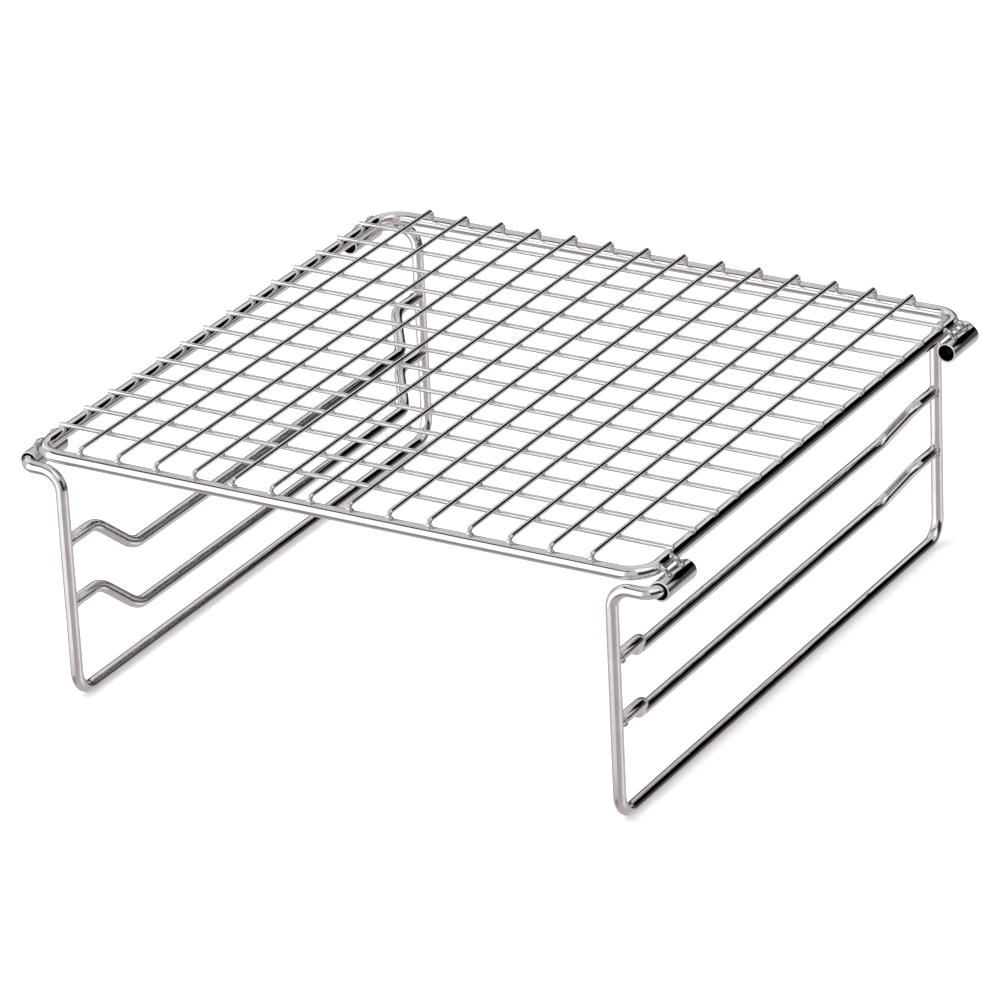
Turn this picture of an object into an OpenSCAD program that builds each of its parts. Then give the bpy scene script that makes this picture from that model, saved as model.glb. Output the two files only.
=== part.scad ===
// Cooling rack with two folding wire legs and shelf rails for trays.
// Frame: X across the rack, from one leg to the other, Y front to back, +Z up.
// The origin is the centre of the footprint, on the surface that the rack stands on.

/* [Top rim] */
// Outer width of the rim, across X
rim_w = 253; // [200:1:400]
// Outer depth of the rim, along Y
rim_d = 250; // [200:1:400]
// Height of the rim's upper edge above the table
rim_top_h = 98; // [90:1:140]
// Diameter of the rod of the rim
rim_rod_d = 5; // [4:0.1:5.5]
// Bend radius of the rim's corners, at the rod's centre
rim_bend_r = 10; // [8:0.5:14]

/* [Mesh] */
// Number of wires each way
wire_count = 14; // [6:1:14]
// Spacing of the wires, centre to centre
wire_pitch = 16; // [10:0.5:16]
// Diameter of the mesh wires
wire_d = 1.8; // [1.4:0.1:2.4]
// How far a weld sinks a wire into what it crosses
weld_sink = 0.2; // [0.05:0.05:0.25]
// How far the wires run past the rim rod's centre
wire_overrun = 1.2; // [0.5:0.1:2]
// Length along Y of the slope by which a long wire comes down onto the rim
wire_slope_l = 1.8; // [1.6:0.1:5]
// Bend radius at both ends of that slope
wire_bend_r = 1.8; // [1.5:0.1:2.5]

/* [Hinges] */
// Outer diameter of a hinge barrel
barrel_d = 7.6; // [7:0.1:9]
// Bore of a hinge barrel
barrel_bore_d = 6; // [5.6:0.1:6.4]
// Length of a hinge barrel
barrel_l = 20; // [16:0.5:24]
// Gap along Y between a barrel's outer end and the inward run of the leg rod
barrel_end_gap = 1.8; // [0.5:0.1:2.5]
// Gap between a barrel and the rim rod, which the welds bridge
barrel_gap = 0.5; // [0.3:0.1:1.4]
// Gap between the rim rod and the leg rod that stops under it
stop_gap = 0.3; // [0.2:0.05:0.6]
// Thickness of a weld bridge
weld_d = 2.2; // [1.6:0.1:2.6]
// Distance from a barrel's end to the middle of a weld bridge
weld_inset = 5.5; // [4:0.5:7]

/* [Legs] */
// Diameter of the leg rod
leg_rod_d = 4.6; // [4:0.1:5.4]
// Distance that the posts stand inwards of the hinge axis
leg_inset = 16.3; // [15:0.1:20]
// How far the posts stand out past the rim rod's centre, along Y
leg_overhang = 2; // [0:0.1:2.5]
// Length of hinge pin inside a barrel
pin_l = 10; // [8:0.5:18]
// Bend radius from the hinge pin into the inward run
pin_bend_r = 5.5; // [5:0.25:6]
// Bend radius from the inward run into the post
shoulder_bend_r = 7.5; // [6:0.25:8]
// Bend radius at the foot of a post
foot_bend_r = 8.5; // [7:0.5:14]

/* [Shelf rails] */
// Diameter of the shelf rail rod
rail_d = 4.5; // [3.5:0.1:4.5]
// Height of the upper rail's ends above the foot rail
upper_rail_h = 60.4; // [54:0.1:64]
// Height of the lower rail's ends above the foot rail
lower_rail_h = 36.1; // [30:0.1:40]
// Straight end of a rail, from the post's centre to the first bend
rail_end_l = 18.5; // [14:0.5:22]
// Length along Y of the sloping part between a rail's end and its middle
rail_slope_l = 11; // [9:0.5:14]
// How far the middle of a rail lies inwards of the posts
rail_inset = 8.5; // [7:0.1:12]
// How far the middle of a rail lies below its ends
rail_drop = 11.4; // [7:0.1:13]
// Bend radius of the rails, at the rod's centre
rail_bend_r = 8; // [5:0.25:9]

/* [Hidden] */
WIRES = [for (i = [1:wire_count]) i];
SIDES = ["left", "right"];
ENDS = ["front", "rear"];
steel = "silver";
bright_steel = "gainsboro";
weld_steel = "darkgray";

// Rim: the centre line of its rod
rim_x = (rim_w - rim_rod_d) / 2;
rim_y = (rim_d - rim_rod_d) / 2;
rim_z = rim_top_h - rim_rod_d / 2;

// Mesh: heights of the wires' centre lines
cross_z = rim_z + (rim_rod_d + wire_d) / 2 - weld_sink;
long_z = cross_z + wire_d - weld_sink;

// The posts stand out a little past the front and rear rails
post_y = rim_y + leg_overhang;

// Hinge axis: below and outside the side rail of the rim
axis_z = rim_z - (rim_rod_d + leg_rod_d) / 2 - stop_gap;
axis_to_rim = (rim_rod_d + barrel_d) / 2 + barrel_gap;
axis_x = rim_x + sqrt(pow(axis_to_rim, 2) - pow(rim_z - axis_z, 2));
barrel_out_y = post_y - barrel_end_gap - leg_rod_d / 2;
barrel_in_y = barrel_out_y - barrel_l;

// Legs: the posts stand inwards of the hinge axis, and the shelf rails inwards of the posts
post_x = axis_x - leg_inset;
foot_z = leg_rod_d / 2;
rail_x = post_x - rail_inset;

// How far a weld bridge reaches into each rod before it is cut back
weld_overlap = 0.4;

// A bend is this much thicker than the rod, and takes in this much of each straight run
bend_swell = 0.02;
bend_seat = 0.2;

function side_sign(side) = side == "left" ? -1 : 1;
function end_sign(end) = end == "front" ? -1 : 1;
function unit(v) = v / norm(v);
function clamp_one(c) = min(1, max(-1, c));

// Angle by which a path turns at point i
function turn_at(path, i) = acos(clamp_one(unit(path[i] - path[i - 1]) * unit(path[i + 1] - path[i])));

// Length of straight that a bend of radius r takes up on each side of point i
function trim_at(path, bends, i) =
    i == 0 || i == len(path) - 1 ? 0 : bends[i] * tan(turn_at(path, i) / 2);

// A straight piece of rod from point a to point b
module straight_rod(a, b, d) {
    run = b - a;
    translate(a)
        rotate([0, acos(clamp_one(run.z / norm(run))), atan2(run.y, run.x)])
            cylinder(d = d, h = norm(run), $fn = 32);
}

// The bend of a rod of diameter d, at point i of the path
module rod_bend(path, bends, i, d) {
    in_dir = unit(path[i] - path[i - 1]);
    out_dir = unit(path[i + 1] - path[i]);
    turn = turn_at(path, i);
    to_centre = unit(out_dir - in_dir * cos(turn));
    centre = path[i] - in_dir * trim_at(path, bends, i) + to_centre * bends[i];
    normal = cross(-to_centre, in_dir);
    multmatrix([
        [-to_centre.x, in_dir.x, normal.x, centre.x],
        [-to_centre.y, in_dir.y, normal.y, centre.y],
        [-to_centre.z, in_dir.z, normal.z, centre.z],
        [0, 0, 0, 1]
    ])
        rotate_extrude(angle = turn, $fn = 96)
            translate([bends[i], 0])
                circle(d = d + bend_swell, $fn = 32);
}

// A rod of diameter d along a path of points, with a bend radius for each point.
// Each straight run reaches a little way into the bends next to it.
module bent_rod(path, bends, d) {
    last = len(path) - 1;
    for (i = [0:last - 1]) {
        run_dir = unit(path[i + 1] - path[i]);
        start_trim = trim_at(path, bends, i) - (i == 0 ? 0 : bend_seat);
        end_trim = trim_at(path, bends, i + 1) - (i == last - 1 ? 0 : bend_seat);
        straight_rod(path[i] + run_dir * start_trim, path[i + 1] - run_dir * end_trim, d);
    }
    for (i = [1:last - 1])
        rod_bend(path, bends, i, d);
}

// Closed ring of the top, with four rounded corners; its ends meet at the middle of the front
module rim() {
    r = rim_bend_r;
    color(bright_steel)
        translate([0, 0, rim_z])
            bent_rod(
                [
                    [0, -rim_y, 0],
                    [rim_x, -rim_y, 0],
                    [rim_x, rim_y, 0],
                    [-rim_x, rim_y, 0],
                    [-rim_x, -rim_y, 0],
                    [0, -rim_y, 0]
                ],
                [0, r, r, r, r, 0],
                rim_rod_d
            );
}

// Place of wire i across the mesh
function wire_place(i) = (i - (wire_count + 1) / 2) * wire_pitch;

// Front-to-back wire i: it lies over the cross wires, and each end comes down a short slope onto the rim
module long_wire(i) {
    x = wire_place(i);
    r = wire_bend_r;
    end_y = rim_y + wire_overrun;
    slope_y = rim_y - wire_slope_l;
    color(steel)
        bent_rod(
            [
                [x, -end_y, cross_z],
                [x, -rim_y, cross_z],
                [x, -slope_y, long_z],
                [x, slope_y, long_z],
                [x, rim_y, cross_z],
                [x, end_y, cross_z]
            ],
            [0, r, r, r, r, 0],
            wire_d
        );
}

// Left-to-right wire i: straight, with its ends on the rim
module cross_wire(i) {
    end_x = rim_x + wire_overrun;
    color(bright_steel)
        straight_rod([-end_x, wire_place(i), cross_z], [end_x, wire_place(i), cross_z], wire_d);
}

// Open tube that a leg's pin turns in
module hinge_barrel(end, side) {
    color(steel)
        translate([side_sign(side) * axis_x, end_sign(end) * (barrel_in_y + barrel_out_y) / 2, axis_z])
            rotate([90, 0, 0])
                difference() {
                    cylinder(d = barrel_d, h = barrel_l, center = true, $fn = 64);
                    cylinder(d = barrel_bore_d, h = barrel_l + 1, center = true, $fn = 64);
                }
}

// The two weld bridges that hold a barrel on the rim: short bars across the gap
module barrel_welds(end, side) {
    rim_point = [side_sign(side) * rim_x, 0, rim_z];
    axis_point = [side_sign(side) * axis_x, 0, axis_z];
    reach = unit(axis_point - rim_point);
    start = rim_rod_d / 2 - weld_overlap;
    color(weld_steel)
        for (inset = [weld_inset, barrel_l - weld_inset])
            translate([0, end_sign(end) * (barrel_out_y - inset), 0])
                difference() {
                    straight_rod(
                        rim_point + reach * start,
                        axis_point - reach * (barrel_d / 2 - weld_overlap),
                        weld_d
                    );
                    straight_rod(rim_point - [0, weld_d, 0], rim_point + [0, weld_d, 0], rim_rod_d);
                    straight_rod(axis_point - [0, weld_d, 0], axis_point + [0, weld_d, 0], barrel_d);
                }
}

// One bent rod: pin, inward run, post, foot rail, post, inward run, pin
module leg_frame(side) {
    s = side_sign(side);
    pin_y = barrel_out_y - pin_l;
    color(bright_steel)
        bent_rod(
            [
                [s * axis_x, -pin_y, axis_z],
                [s * axis_x, -post_y, axis_z],
                [s * post_x, -post_y, axis_z],
                [s * post_x, -post_y, foot_z],
                [s * post_x, post_y, foot_z],
                [s * post_x, post_y, axis_z],
                [s * axis_x, post_y, axis_z],
                [s * axis_x, pin_y, axis_z]
            ],
            [0, pin_bend_r, shoulder_bend_r, foot_bend_r, foot_bend_r, shoulder_bend_r, pin_bend_r, 0],
            leg_rod_d
        );
}

// Rail welded between the posts at height h: its middle lies inwards and lower, to hold a tray
module shelf_rail(side, h) {
    s = side_sign(side);
    slope_y = post_y - rail_end_l;
    middle_y = slope_y - rail_slope_l;
    end_z = foot_z + h;
    color(bright_steel)
        difference() {
            bent_rod(
                [
                    [s * post_x, -post_y, end_z],
                    [s * post_x, -slope_y, end_z],
                    [s * rail_x, -middle_y, end_z - rail_drop],
                    [s * rail_x, middle_y, end_z - rail_drop],
                    [s * post_x, slope_y, end_z],
                    [s * post_x, post_y, end_z]
                ],
                [0, rail_bend_r, rail_bend_r, rail_bend_r, rail_bend_r, 0],
                rail_d
            );
            for (e = [-1, 1])
                translate([s * post_x, e * post_y, end_z])
                    cylinder(d = leg_rod_d, h = rail_d * 2, center = true, $fn = 32);
        }
}

rim();
for (i = WIRES) {
    long_wire(i);
    cross_wire(i);
}
for (e = ENDS, s = SIDES) {
    hinge_barrel(e, s);
    barrel_welds(e, s);
}
for (s = SIDES) {
    leg_frame(s);
    shelf_rail(s, upper_rail_h);
    shelf_rail(s, lower_rail_h);
}
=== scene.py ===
import math
import random

import bmesh
import bpy
from mathutils import Matrix, Vector


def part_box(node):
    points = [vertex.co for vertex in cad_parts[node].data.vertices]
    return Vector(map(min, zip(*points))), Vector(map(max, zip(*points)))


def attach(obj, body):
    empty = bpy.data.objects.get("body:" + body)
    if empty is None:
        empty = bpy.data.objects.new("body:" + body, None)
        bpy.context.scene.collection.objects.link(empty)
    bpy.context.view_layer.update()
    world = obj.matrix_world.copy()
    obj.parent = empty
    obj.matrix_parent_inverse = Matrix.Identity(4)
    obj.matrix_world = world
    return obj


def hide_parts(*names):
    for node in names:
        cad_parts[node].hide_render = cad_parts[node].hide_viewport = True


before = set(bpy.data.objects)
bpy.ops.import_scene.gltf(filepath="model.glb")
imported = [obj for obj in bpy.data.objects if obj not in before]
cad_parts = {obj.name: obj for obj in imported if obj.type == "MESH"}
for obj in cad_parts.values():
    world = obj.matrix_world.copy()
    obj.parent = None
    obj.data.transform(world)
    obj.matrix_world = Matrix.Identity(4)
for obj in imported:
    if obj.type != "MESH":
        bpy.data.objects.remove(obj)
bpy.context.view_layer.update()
print("frame loaded:", len(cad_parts), "nodes")

sides = {"left": -1, "right": 1}
ends = {"front": -1, "rear": 1}


# ---------- shader helpers ----------

def place(tree, kind, **inputs):
    # a node with its sockets filled by value or by link
    node = tree.nodes.new(kind)
    for name, value in inputs.items():
        socket = node.inputs[int(name[1:])] if name[0] == "i" and name[1:].isdigit() else node.inputs[name]
        if isinstance(value, bpy.types.NodeSocket):
            tree.links.new(value, socket)
        else:
            socket.default_value = value
    return node


def maths(tree, operation, first, second=0.0):
    node = place(tree, "ShaderNodeMath", i0=first, i1=second)
    node.operation = operation
    return node.outputs[0]


def softStep(tree, value, low, high, toLow=0.0, toHigh=1.0):
    node = place(tree, "ShaderNodeMapRange", Value=value)
    node.interpolation_type = "SMOOTHSTEP"
    for name, number in (("From Min", low), ("From Max", high), ("To Min", toLow), ("To Max", toHigh)):
        node.inputs[name].default_value = number
    return node.outputs["Result"]


def mixColours(tree, factor, first, second, blend="MIX"):
    node = tree.nodes.new("ShaderNodeMix")
    node.data_type = "RGBA"
    node.blend_type = blend
    for index, value in ((0, factor), (6, first), (7, second)):
        if isinstance(value, bpy.types.NodeSocket):
            tree.links.new(value, node.inputs[index])
        else:
            node.inputs[index].default_value = value
    return node.outputs[2]


def newGroup(name, inputs, outputs):
    group = bpy.data.node_groups.new(name, "ShaderNodeTree")
    for label, kind in inputs:
        group.interface.new_socket(name=label, in_out="INPUT", socket_type=kind)
    for label, kind in outputs:
        group.interface.new_socket(name=label, in_out="OUTPUT", socket_type=kind)
    return group, group.nodes.new("NodeGroupInput"), group.nodes.new("NodeGroupOutput")


# ---------- steel ----------

grainValues = dict(alongStretch=0.03, maskFrom=0.35, maskTo=0.7, markReach=0.16, streakShare=0.45, cloudShare=0.55,
                   cloudWear=0.6, markWear=0.4, streakHeight=0.6, markHeight=-0.15, bumpDistance=0.0004,
                   boreRoughness=0.3)


def buildDrawnSteel(values):
    # streaks along the rod from drawing it through a die, faint clouding from polishing, and small rubbed marks
    group, given, result = newGroup(
        "drawnSteel",
        [("Point", "NodeSocketVector"), ("Streaks", "NodeSocketFloat"), ("Clouds", "NodeSocketFloat"),
         ("Dark", "NodeSocketColor"), ("Light", "NodeSocketColor"),
         ("Smooth", "NodeSocketFloat"), ("Rough", "NodeSocketFloat")],
        [("Color", "NodeSocketColor"), ("Roughness", "NodeSocketFloat"), ("Height", "NodeSocketFloat")],
    )
    stretched = place(group, "ShaderNodeVectorMath", i0=given.outputs["Point"], i1=(1.0, 1.0, values["alongStretch"]))
    stretched.operation = "MULTIPLY"
    streaks = place(group, "ShaderNodeTexNoise", Vector=stretched.outputs[0], Scale=given.outputs["Streaks"],
                    Detail=3.0, Roughness=0.6)
    clouds = place(group, "ShaderNodeTexNoise", Vector=given.outputs["Point"], Scale=given.outputs["Clouds"],
                   Detail=4.0, Roughness=0.55)
    marks = place(group, "ShaderNodeTexVoronoi", Vector=given.outputs["Point"], Scale=given.outputs["Clouds"],
                  Randomness=1.0)
    rubbed = softStep(group, marks.outputs["Distance"], 0.0, values["markReach"], 1.0, 0.0)
    streakMask = softStep(group, streaks.outputs["Fac"], values["maskFrom"], values["maskTo"])
    cloudMask = softStep(group, clouds.outputs["Fac"], values["maskFrom"], values["maskTo"])
    tone = maths(group, "ADD", maths(group, "MULTIPLY", streakMask, values["streakShare"]),
                 maths(group, "MULTIPLY", cloudMask, values["cloudShare"]))
    colour = mixColours(group, tone, given.outputs["Dark"], given.outputs["Light"])
    wear = maths(group, "ADD", maths(group, "MULTIPLY", cloudMask, values["cloudWear"]),
                 maths(group, "MULTIPLY", rubbed, values["markWear"]))
    spread = maths(group, "SUBTRACT", given.outputs["Rough"], given.outputs["Smooth"])
    rough = maths(group, "ADD", given.outputs["Smooth"], maths(group, "MULTIPLY", wear, spread))
    height = maths(group, "ADD", maths(group, "MULTIPLY", streaks.outputs["Fac"], values["streakHeight"]),
                   maths(group, "MULTIPLY", rubbed, values["markHeight"]))
    group.links.new(colour, result.inputs["Color"])
    group.links.new(rough, result.inputs["Roughness"])
    group.links.new(height, result.inputs["Height"])
    return group


drawnSteel = buildDrawnSteel(grainValues)

steelFinishes = {
    "polishedRod": dict(dark=(0.82, 0.80, 0.80, 1), light=(0.93, 0.92, 0.92, 1), smooth=0.02, rough=0.06,
                        streaks=1400.0, clouds=160.0, bump=0.04),
    "polishedWire": dict(dark=(0.76, 0.76, 0.79, 1), light=(0.90, 0.90, 0.92, 1), smooth=0.02, rough=0.07,
                         streaks=2600.0, clouds=260.0, bump=0.04),
    "polishedTube": dict(dark=(0.70, 0.69, 0.69, 1), light=(0.86, 0.86, 0.86, 1), smooth=0.04, rough=0.11,
                         streaks=1200.0, clouds=240.0, bump=0.06),
    "weldMetal": dict(dark=(0.50, 0.48, 0.46, 1), light=(0.92, 0.92, 0.92, 1), smooth=0.04, rough=0.2,
                      streaks=700.0, clouds=900.0, bump=0.3),
}


def buildSteel(name, finish, alongRod=True, paintedBoreShade=None):
    material = bpy.data.materials.new(name)
    material.use_nodes = True
    tree = material.node_tree
    tree.nodes.clear()
    if alongRod:
        source = tree.nodes.new("ShaderNodeAttribute")
        source.attribute_name = "rodPoint"
        point = source.outputs["Vector"]
    else:
        point = tree.nodes.new("ShaderNodeTexCoord").outputs["Object"]
    grain = tree.nodes.new("ShaderNodeGroup")
    grain.node_tree = drawnSteel
    tree.links.new(point, grain.inputs["Point"])
    for label, key in (("Streaks", "streaks"), ("Clouds", "clouds"), ("Dark", "dark"), ("Light", "light"),
                       ("Smooth", "smooth"), ("Rough", "rough")):
        grain.inputs[label].default_value = finish[key]
    bump = place(tree, "ShaderNodeBump", Strength=finish["bump"], Distance=grainValues["bumpDistance"],
                 Height=grain.outputs["Height"])
    steel = tree.nodes.new("ShaderNodeBsdfPrincipled")
    steel.inputs["Metallic"].default_value = 1.0
    colour, rough = grain.outputs["Color"], grain.outputs["Roughness"]
    if paintedBoreShade:    # painted shade darkens the metal inside the tube's bore, which is also made rougher
        bore = tree.nodes.new("ShaderNodeAttribute")
        bore.attribute_name = "inBore"
        colour = mixColours(tree, bore.outputs["Fac"], colour, paintedBoreShade)
        rough = maths(tree, "ADD", rough, maths(tree, "MULTIPLY", bore.outputs["Fac"], grainValues["boreRoughness"]))
    tree.links.new(colour, steel.inputs["Base Color"])
    tree.links.new(rough, steel.inputs["Roughness"])
    tree.links.new(bump.outputs["Normal"], steel.inputs["Normal"])
    out = tree.nodes.new("ShaderNodeOutputMaterial")
    tree.links.new(steel.outputs["BSDF"], out.inputs["Surface"])
    return material


polishedRod = buildSteel("polishedRod", steelFinishes["polishedRod"])
polishedWire = buildSteel("polishedWire", steelFinishes["polishedWire"])
polishedTube = buildSteel("polishedTube", steelFinishes["polishedTube"], alongRod=False,
                          paintedBoreShade=(0.055, 0.045, 0.042, 1))
weldMetal = buildSteel("weldMetal", steelFinishes["weldMetal"], alongRod=False)
print("steel finishes made")


# ---------- bent rods ----------

tipValues = dict(steps=4, stepAngle=20)    # degrees of rounding that each step of a rod's end takes


class Rod:
    # a ring of edges carried along by extrude, move and turn; rodPoint keeps where each point was on the straight rod
    def __init__(self, radius, facets):
        self.mesh = bmesh.new()
        self.layer = self.mesh.verts.layers.float_vector.new("rodPoint")
        self.radius = radius
        self.facets = facets
        self.length = 0.0

    def start(self, point, heading):
        turned = heading.to_track_quat("Z", "Y").to_matrix().to_4x4()
        made = bmesh.ops.create_circle(self.mesh, cap_ends=False, radius=self.radius, segments=self.facets,
                                       matrix=Matrix.Translation(point) @ turned)
        self.ring = made["verts"]
        inverse = turned.inverted().to_3x3()
        for vert in self.ring:
            flat = inverse @ (vert.co - point)
            vert[self.layer] = Vector((flat.x, flat.y, self.length))
        self.first = list(self.ring)

    def ringEdges(self):
        ringSet = set(self.ring)
        return [e for e in {e for v in self.ring for e in v.link_edges} if set(e.verts) <= ringSet]

    def grow(self, distance):
        made = bmesh.ops.extrude_edge_only(self.mesh, edges=self.ringEdges())
        self.ring = [g for g in made["geom"] if isinstance(g, bmesh.types.BMVert)]
        self.length += distance
        for vert in self.ring:
            vert[self.layer] = Vector((*vert[self.layer].xy, self.length))

    def straight(self, run, stride):
        steps = max(1, round(run.length / stride))
        for _ in range(steps):
            self.grow(run.length / steps)
            bmesh.ops.translate(self.mesh, verts=self.ring, vec=run / steps)

    def bend(self, centre, axis, angle, bendRadius, steps):
        for _ in range(steps):
            self.grow(bendRadius * angle / steps)
            bmesh.ops.rotate(self.mesh, verts=self.ring, cent=centre, matrix=Matrix.Rotation(angle / steps, 3, axis))

    def tip(self, ring, centre, heading, depth):
        # rounds off an end in a few steps and closes it
        self.ring = ring
        for step in range(1, tipValues["steps"] + 1):
            low, high = (math.radians(s * tipValues["stepAngle"]) for s in (step - 1, step))
            rise = depth * (math.sin(high) - math.sin(low))
            self.grow(rise)
            bmesh.ops.translate(self.mesh, verts=self.ring, vec=heading * rise)
            middle = sum((v.co for v in self.ring), Vector()) / len(self.ring)
            bmesh.ops.scale(self.mesh, verts=self.ring, vec=Vector((1, 1, 1)) * (math.cos(high) / math.cos(low)),
                            space=Matrix.Translation(-middle))
        bmesh.ops.contextual_create(self.mesh, geom=self.ringEdges())


def bentRod(path, bends, radius, facets=24, stride=0.012, closed=False, tipDepth=0.4, arcStep=7.5):
    rod = Rod(radius, facets)
    path = [Vector(p) for p in path]
    headings = [(b - a).normalized() for a, b in zip(path, path[1:])]
    rod.start(path[0], headings[0])
    at = path[0].copy()
    for i, heading in enumerate(headings):
        target = path[i + 1].copy()
        if i < len(headings) - 1:
            following = headings[i + 1]
            angle = heading.angle(following)
            target -= heading * bends[i + 1] * math.tan(angle / 2)
        rod.straight(target - at, stride)
        if i < len(headings) - 1:
            inward = (following - heading * following.dot(heading)).normalized()
            rod.bend(target + inward * bends[i + 1], heading.cross(following).normalized(), angle, bends[i + 1],
                     max(3, round(math.degrees(angle) / arcStep)))
            at = path[i + 1] + following * bends[i + 1] * math.tan(angle / 2)
    if closed:
        bmesh.ops.remove_doubles(rod.mesh, verts=rod.mesh.verts, dist=radius * 0.02)
    else:
        last = list(rod.ring)
        rod.tip(last, path[-1], headings[-1], radius * tipDepth)
        rod.tip(rod.first, path[0], -headings[0], radius * tipDepth)
    return rod.mesh


def finishPiece(name, mesh, material, body, replaced=()):
    bmesh.ops.recalc_face_normals(mesh, faces=mesh.faces)
    for face in mesh.faces:
        face.smooth = True
    data = bpy.data.meshes.new(name)
    mesh.to_mesh(data)
    mesh.free()
    data.materials.append(material)
    piece = bpy.data.objects.new(name, data)
    bpy.context.scene.collection.objects.link(piece)
    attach(piece, body)
    if replaced:
        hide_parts(*replaced)
    return piece


# ---------- rim ----------

# the ring's two ends are butt welded near the middle of the rear
rimValues = dict(rodRadius=0.0025, bendRadius=0.010, joinX=0.001)
rimLow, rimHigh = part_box("rim")
rimX = rimHigh.x - rimValues["rodRadius"]
rimY = rimHigh.y - rimValues["rodRadius"]
rimZ = (rimLow.z + rimHigh.z) / 2
rimBend = rimValues["bendRadius"]
joinX = rimValues["joinX"]
rimPath = [(joinX, rimY, rimZ), (-rimX, rimY, rimZ), (-rimX, -rimY, rimZ),
           (rimX, -rimY, rimZ), (rimX, rimY, rimZ), (joinX, rimY, rimZ)]
rimMesh = bentRod(rimPath, [0, rimBend, rimBend, rimBend, rimBend, 0], rimValues["rodRadius"], facets=32,
                  closed=True, arcStep=5)
finishPiece("rimRing", rimMesh, polishedRod, "top", ["rim"])
print("rim made")


# ---------- mesh wires ----------

# a long wire comes down onto the rim between slopeStart before the rod's middle and slopeEnd past it
wireValues = dict(radius=0.0009, slopeStart=0.0005, slopeEnd=0.0006, bendRadius=0.0010)
wireCount = sum(1 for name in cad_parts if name.startswith("long_wire_"))
longX = []
crossY = []
for i in range(1, wireCount + 1):
    low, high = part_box(f"long_wire_{i}")
    x, endY, topZ = (low.x + high.x) / 2, high.y, high.z - wireValues["radius"]
    longX.append(x)
    crossLow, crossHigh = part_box(f"cross_wire_{i}")
    y, endX = (crossLow.y + crossHigh.y) / 2, crossHigh.x
    crossZ = (crossLow.z + crossHigh.z) / 2
    crossY.append(y)
    slopeY, lowY = rimY - wireValues["slopeStart"], rimY + wireValues["slopeEnd"]
    bend = wireValues["bendRadius"]
    longMesh = bentRod([(x, -endY, crossZ), (x, -lowY, crossZ), (x, -slopeY, topZ), (x, slopeY, topZ),
                        (x, lowY, crossZ), (x, endY, crossZ)],
                       [0, bend, bend, bend, bend, 0], wireValues["radius"], facets=16)
    finishPiece(f"longWire{i:02d}", longMesh, polishedWire, "top", [f"long_wire_{i}"])
    crossMesh = bentRod([(-endX, y, crossZ), (endX, y, crossZ)], [0, 0], wireValues["radius"], facets=16)
    finishPiece(f"crossWire{i:02d}", crossMesh, polishedWire, "top", [f"cross_wire_{i}"])
longZ = topZ
print("mesh wires made:", 2 * wireCount)


# ---------- welds on the mesh ----------

def addNugget(mesh, centre, radii, rings=6, around=10):
    # a small rounded lump of weld metal
    shape = Matrix.Translation(Vector(centre)) @ Matrix.Diagonal((*radii, 1))
    bmesh.ops.create_uvsphere(mesh, u_segments=around, v_segments=rings, radius=1.0, matrix=shape)


nuggetValues = dict(crossing=(0.00128, 0.00122, 0.00078), crossingDrop=0.0002, onRim=(0.0015, 0.0013, 0.0008),
                    scatter=0.12)
random.seed(7)


def scattered(radii):
    return [r * random.uniform(1 - nuggetValues["scatter"], 1 + nuggetValues["scatter"]) for r in radii]


crossingWelds = bmesh.new()
crossingZ = (crossZ + longZ) / 2 - nuggetValues["crossingDrop"]
for x in longX:
    for y in crossY:
        addNugget(crossingWelds, (x, y, crossingZ), scattered(nuggetValues["crossing"]))
finishPiece("crossingWelds", crossingWelds, weldMetal, "top")

rimWelds = bmesh.new()
seatZ = rimZ + rimValues["rodRadius"]
for y in crossY:
    for side in (-1, 1):
        addNugget(rimWelds, (side * rimX, y, seatZ), scattered(nuggetValues["onRim"]))
for x in longX:
    for end in (-1, 1):
        addNugget(rimWelds, (x, end * rimY, seatZ), scattered(nuggetValues["onRim"]))
finishPiece("rimWelds", rimWelds, weldMetal, "top")
print("mesh welds made:", len(longX) * len(crossY))


# ---------- legs ----------

legValues = dict(rodRadius=0.0023, pinBend=0.0055, shoulderBend=0.0075, footBend=0.0085, pinLength=0.010)
# a rail's coped end reaches into the post to seatDepth radii from the post's middle
railValues = dict(radius=0.00225, endLength=0.0185, slopeLength=0.011, bendRadius=0.008, seatDepth=0.6)
# the weld of a rail's end on a post: a flat seat, and beads at these angles around the rail
postWeldValues = dict(seat=(0.0024, 0.0008, 0.0026), seatProud=0.0001, bead=(0.0009, 0.0011, 0.0009),
                      beadAngles=(0.35, -0.6), beadAround=0.0021, beadProud=0.0006)
barrelLow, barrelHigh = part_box("hinge_barrel_front_right")
barrelLength = barrelHigh.y - barrelLow.y
pinEndY = -barrelLow.y - legValues["pinLength"]

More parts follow.
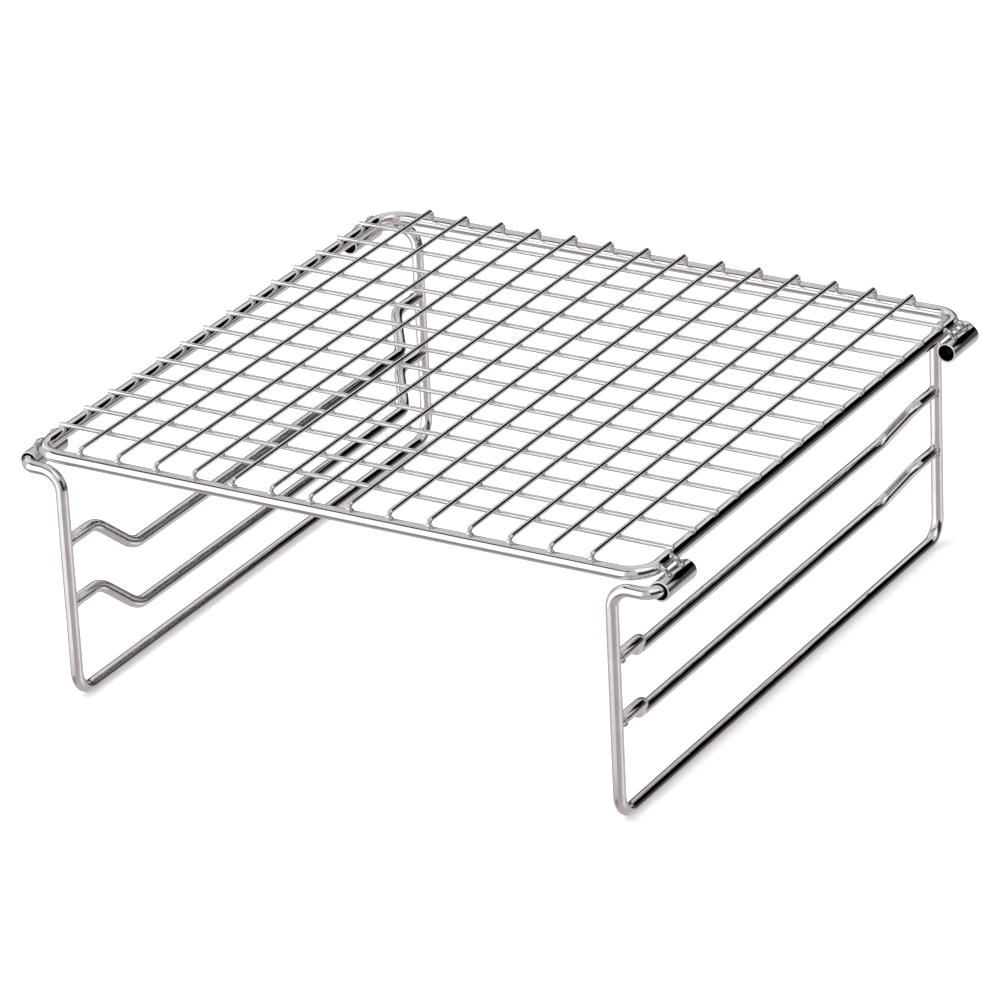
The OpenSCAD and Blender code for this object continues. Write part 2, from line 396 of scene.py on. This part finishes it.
for side, s in sides.items():
    legLow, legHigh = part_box(f"leg_frame_{side}")
    r = legValues["rodRadius"]
    axisX = max(abs(legLow.x), abs(legHigh.x)) - r
    postX = min(abs(legLow.x), abs(legHigh.x)) + r
    postY = legHigh.y - r
    footZ = legLow.z + r
    axisZ = legHigh.z - r
    legMesh = bentRod(
        [(s * axisX, -pinEndY, axisZ), (s * axisX, -postY, axisZ), (s * postX, -postY, axisZ),
         (s * postX, -postY, footZ), (s * postX, postY, footZ), (s * postX, postY, axisZ),
         (s * axisX, postY, axisZ), (s * axisX, pinEndY, axisZ)],
        [0, legValues["pinBend"], legValues["shoulderBend"], legValues["footBend"], legValues["footBend"],
         legValues["shoulderBend"], legValues["pinBend"], 0], r, facets=32, arcStep=5)
    finishPiece(f"legFrame_{side}", legMesh, polishedRod, f"leg_{side}", [f"leg_frame_{side}"])
    postWelds = bmesh.new()
    for level in ("upper", "lower"):
        railLow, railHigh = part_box(f"{level}_shelf_rail_{side}")
        railRadius = railValues["radius"]
        railX = min(abs(railLow.x), abs(railHigh.x)) + railRadius
        endZ, middleZ = railHigh.z - railRadius, railLow.z + railRadius
        slopeY = postY - railValues["endLength"]
        middleY = slopeY - railValues["slopeLength"]
        seatY = postY - r * railValues["seatDepth"]
        bend = railValues["bendRadius"]
        railMesh = bentRod(
            [(s * postX, -seatY, endZ), (s * postX, -slopeY, endZ), (s * railX, -middleY, middleZ),
             (s * railX, middleY, middleZ), (s * postX, slopeY, endZ), (s * postX, seatY, endZ)],
            [0, bend, bend, bend, bend, 0], railRadius, facets=28, arcStep=5)
        finishPiece(f"{level}ShelfRail_{side}", railMesh, polishedRod, f"leg_{side}",
                    [f"{level}_shelf_rail_{side}"])
        for end in (-1, 1):
            faceY = postY - r
            addNugget(postWelds, (s * postX, end * (faceY + postWeldValues["seatProud"]), endZ),
                      postWeldValues["seat"], around=16, rings=10)
            for turn in postWeldValues["beadAngles"]:
                away = postWeldValues["beadAround"]
                spot = (s * (postX + away * math.cos(turn)), end * (faceY - postWeldValues["beadProud"]),
                        endZ + away * math.sin(turn))
                addNugget(postWelds, spot, scattered(postWeldValues["bead"]))
    finishPiece(f"postWelds_{side}", postWelds, weldMetal, f"leg_{side}")
print("legs made")


# ---------- hinge barrels ----------

# each barrel hangs a little on its pin
barrelValues = dict(outer=0.0038, bore=0.0030, lip=0.0003, drop=0.0004, segments=48)
# a weld run starts on the rim's side, passes over the gap and ends on the barrel: each point is out and up
barrelWeldValues = dict(inset=0.0055, leanFrom=0.0003, leanTo=0.0007, onRim=(0.0020, 0.0012), over=(0.0036, 0.0004),
                        onBarrel=(0.0004, 0.0035), runRadius=0.00095, runBend=0.0012,
                        rimLump=(0.0010, 0.0013, 0.0012), barrelLump=(0.0013, 0.0014, 0.0009))


def addBarrel(x, yMiddle, z):
    # a ring drawn out along the hinge axis and given its wall, with the edges of both mouths softened
    mesh = bmesh.new()
    half = barrelLength / 2
    ring = bmesh.ops.create_circle(mesh, cap_ends=False, radius=barrelValues["outer"],
                                   segments=barrelValues["segments"],
                                   matrix=Matrix.Translation((x, yMiddle - half, z))
                                   @ Matrix.Rotation(math.pi / 2, 4, "X"))
    edges = list({e for v in ring["verts"] for e in v.link_edges})
    made = bmesh.ops.extrude_edge_only(mesh, edges=edges)
    bmesh.ops.translate(mesh, verts=[g for g in made["geom"] if isinstance(g, bmesh.types.BMVert)],
                        vec=(0, barrelLength, 0))
    bmesh.ops.recalc_face_normals(mesh, faces=mesh.faces)
    middle = Vector((x, yMiddle, z))
    if sum((f.calc_center_median() - middle).dot(f.normal) for f in mesh.faces) < 0:
        bmesh.ops.reverse_faces(mesh, faces=mesh.faces)
    wall = barrelValues["outer"] - barrelValues["bore"]
    bmesh.ops.solidify(mesh, geom=mesh.faces[:], thickness=wall)
    rims = [e for e in mesh.edges if e.calc_length() < wall * 0.75
            and all(abs(abs(v.co.y - yMiddle) - half) < 1e-6 for v in e.verts)]
    bmesh.ops.bevel(mesh, geom=rims, offset=barrelValues["lip"], segments=3, profile=0.5, material=-1,
                    affect="EDGES", clamp_overlap=True)
    # inBore marks the bore's inner wall, where the tube's material paints a dark shade into the colour
    inBore = mesh.verts.layers.float.new("inBore")
    limit = (barrelValues["outer"] + barrelValues["bore"]) / 2 - 0.0002
    for vert in mesh.verts:
        vert[inBore] = 1.0 if math.hypot(vert.co.x - x, vert.co.z - z) < limit else 0.0
    return mesh


for end, e in ends.items():
    for side, s in sides.items():
        low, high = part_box(f"hinge_barrel_{end}_{side}")
        middle = (low + high) / 2
        mesh = addBarrel(middle.x, middle.y, middle.z - barrelValues["drop"])
        finishPiece(f"hingeBarrel_{end}_{side}", mesh, polishedTube, "top",
                    [f"hinge_barrel_{end}_{side}"])
        # each weld is a short run of metal from the rim's side over onto the barrel, with a lump at both ends
        welds = bmesh.new()
        for inset in (barrelWeldValues["inset"], barrelLength - barrelWeldValues["inset"]):
            y = e * (abs(middle.y) + barrelLength / 2 - inset)
            lean = random.uniform(barrelWeldValues["leanFrom"], barrelWeldValues["leanTo"])
            spots = [Vector((fromX + s * out, y + shift, fromZ + up)) for (out, up), fromX, fromZ, shift in (
                (barrelWeldValues["onRim"], s * rimX, rimZ, -lean),
                (barrelWeldValues["over"], s * rimX, rimZ, 0),
                (barrelWeldValues["onBarrel"], middle.x, middle.z, lean))]
            run = bentRod(spots, [0, barrelWeldValues["runBend"], 0], barrelWeldValues["runRadius"], facets=12,
                          stride=0.0008, tipDepth=0.8, arcStep=15)
            runData = bpy.data.meshes.new("weldRun")
            run.to_mesh(runData)
            run.free()
            welds.from_mesh(runData)
            bpy.data.meshes.remove(runData)
            addNugget(welds, spots[0], scattered(barrelWeldValues["rimLump"]), around=14, rings=10)
            addNugget(welds, spots[2], scattered(barrelWeldValues["barrelLump"]), around=14, rings=10)
        finishPiece(f"barrelWelds_{end}_{side}", welds, weldMetal, "top",
                    [f"barrel_welds_{end}_{side}"])
print("hinge barrels made")


# ---------- studio ----------

floorValues = dict(size=9.0, tone=(0.93, 0.93, 0.93, 1), shade=(0.91, 0.91, 0.915, 1), glow=0.35,
                   roughness=0.9, cloudScale=3.0)
floorMesh = bmesh.new()
bmesh.ops.create_grid(floorMesh, x_segments=2, y_segments=2, size=floorValues["size"])
floorData = bpy.data.meshes.new("studioFloor")
floorMesh.to_mesh(floorData)
floorMesh.free()
floor = bpy.data.objects.new("studioFloor", floorData)
bpy.context.scene.collection.objects.link(floor)
floor.visible_glossy = False
floorFinish = bpy.data.materials.new("paleFloor")
floorFinish.use_nodes = True
tree = floorFinish.node_tree
cloud = place(tree, "ShaderNodeTexNoise", Vector=tree.nodes.new("ShaderNodeTexCoord").outputs["Object"],
              Scale=floorValues["cloudScale"])
paper = tree.nodes["Principled BSDF"]
paper.inputs["Roughness"].default_value = floorValues["roughness"]
paper.inputs["Emission Color"].default_value = (1, 1, 1, 1)
paper.inputs["Emission Strength"].default_value = floorValues["glow"]
tree.links.new(mixColours(tree, cloud.outputs["Fac"], floorValues["tone"], floorValues["shade"]),
               paper.inputs["Base Color"])
floorData.materials.append(floorFinish)

# pale walls, a bright window in front and dark gaps between them; each patch is from azimuth, to azimuth, from
# elevation, to elevation, tone and softness, in degrees, azimuth 0 in front and 90 to the right
studioValues = dict(
    wall=(0.62, 0.62, 0.63, 1),
    backdrop=(0.97, 0.97, 0.97, 1),
    patches=[
        ("floorBounce", -180, 180, -95, -14, (0.50, 0.47, 0.47, 1), 8),
        ("leftWall", -178, -112, -12, 17, (0.09, 0.085, 0.09, 1), 5),
        ("frontWindow", -70, 3, -26, 41, (1.3, 1.29, 1.27, 1), 6),
        ("frontGap", -90, 20, 42, 55, (0.03, 0.025, 0.025, 1), 3),
        ("frontFloor", 6, 66, -45, -12, (0.43, 0.40, 0.40, 1), 6),
        ("floorNear", -70, -10, -60, -33, (0.28, 0.26, 0.26, 1), 5),
        ("sideFloor", 88, 126, -45, -14, (0.85, 0.81, 0.80, 1), 8),
        ("rearFloor", 152, 200, -60, -28, (0.66, 0.63, 0.62, 1), 5),
        ("rightWall", 96, 172, -16, 12, (0.08, 0.072, 0.08, 1), 4),
        ("rightGap", 44, 100, -14, 27, (0.04, 0.035, 0.035, 1), 4),
        ("rightWindow", 40, 110, 36, 78, (1.1, 1.09, 1.08, 1), 5),
        ("leftWindow", -132, -104, 19, 42, (0.95, 0.94, 0.94, 1), 4),
        ("rearCeiling", 138, 182, 9, 43, (0.0, 0.0, 0.0, 1), 4),
        ("rearWindow", 184, 214, 21, 60, (0.74, 0.74, 0.76, 1), 4),
    ],
)


def buildStudio(values):
    world = bpy.data.worlds.new("studio")
    bpy.context.scene.world = world
    world.use_nodes = True
    tree = world.node_tree
    tree.nodes.clear()
    direction = place(tree, "ShaderNodeSeparateXYZ", Vector=tree.nodes.new("ShaderNodeTexCoord").outputs["Generated"])
    x, y, z = direction.outputs
    elevation = maths(tree, "MULTIPLY", maths(tree, "ARCSINE", z), 180 / math.pi)
    azimuth = maths(tree, "MULTIPLY", maths(tree, "ARCTAN2", x, maths(tree, "MULTIPLY", y, -1.0)), 180 / math.pi)
    behind = maths(tree, "ADD", azimuth, 360.0)    # a patch may run past straight behind
    shade = values["wall"]
    for name, az0, az1, el0, el1, tone, soft in values["patches"]:
        mask = maths(tree, "MULTIPLY", softStep(tree, elevation, el0 - soft, el0 + soft),
                     softStep(tree, elevation, el1 - soft, el1 + soft, 1.0, 0.0))
        if az1 - az0 < 360:
            across = maths(tree, "MULTIPLY", softStep(tree, azimuth, az0 - soft, az0 + soft),
                           softStep(tree, azimuth, az1 - soft, az1 + soft, 1.0, 0.0))
            if az1 > 180:
                around = softStep(tree, behind, az1 - soft, az1 + soft, 1.0, 0.0)
                across = maths(tree, "MAXIMUM", across, around)
            mask = maths(tree, "MULTIPLY", mask, across)
        shade = mixColours(tree, mask, shade, tone)
    seen = tree.nodes.new("ShaderNodeLightPath")
    lit = place(tree, "ShaderNodeBackground",
                Color=mixColours(tree, seen.outputs["Is Camera Ray"], shade, values["backdrop"]), Strength=1.0)
    out = tree.nodes.new("ShaderNodeOutputWorld")
    tree.links.new(lit.outputs[0], out.inputs["Surface"])


buildStudio(studioValues)

lampValues = dict(energy=26.0, size=1.6, at=(-0.7, -0.5, 1.9))
lampData = bpy.data.lights.new("overheadSoft", "AREA")
lampData.energy = lampValues["energy"]
lampData.size = lampValues["size"]
lamp = bpy.data.objects.new("overheadSoft", lampData)
lamp.location = lampValues["at"]
lamp.rotation_euler = (-Vector(lampValues["at"])).to_track_quat("-Z", "Y").to_euler()
lamp.visible_glossy = False
bpy.context.scene.collection.objects.link(lamp)

cameraValues = dict(at=(0.98720802, -1.64596198, 0.93610565), lens=207.392,
                    right=(0.86600976, 0.49804162, -0.04451564), up=(-0.17441207, 0.38430446, 0.90658177),
                    back=(0.46862302, -0.7773446, 0.41967588))
cameraData = bpy.data.cameras.new("viewCamera")
cameraData.lens = cameraValues["lens"]
cameraData.sensor_width = 36
camera = bpy.data.objects.new("viewCamera", cameraData)
turn = Matrix((cameraValues["right"], cameraValues["up"], cameraValues["back"])).transposed().to_4x4()
camera.matrix_world = Matrix.Translation(cameraValues["at"]) @ turn
bpy.context.scene.collection.objects.link(camera)
bpy.context.scene.camera = camera
bpy.context.scene.view_settings.view_transform = "Standard"
print("studio made")
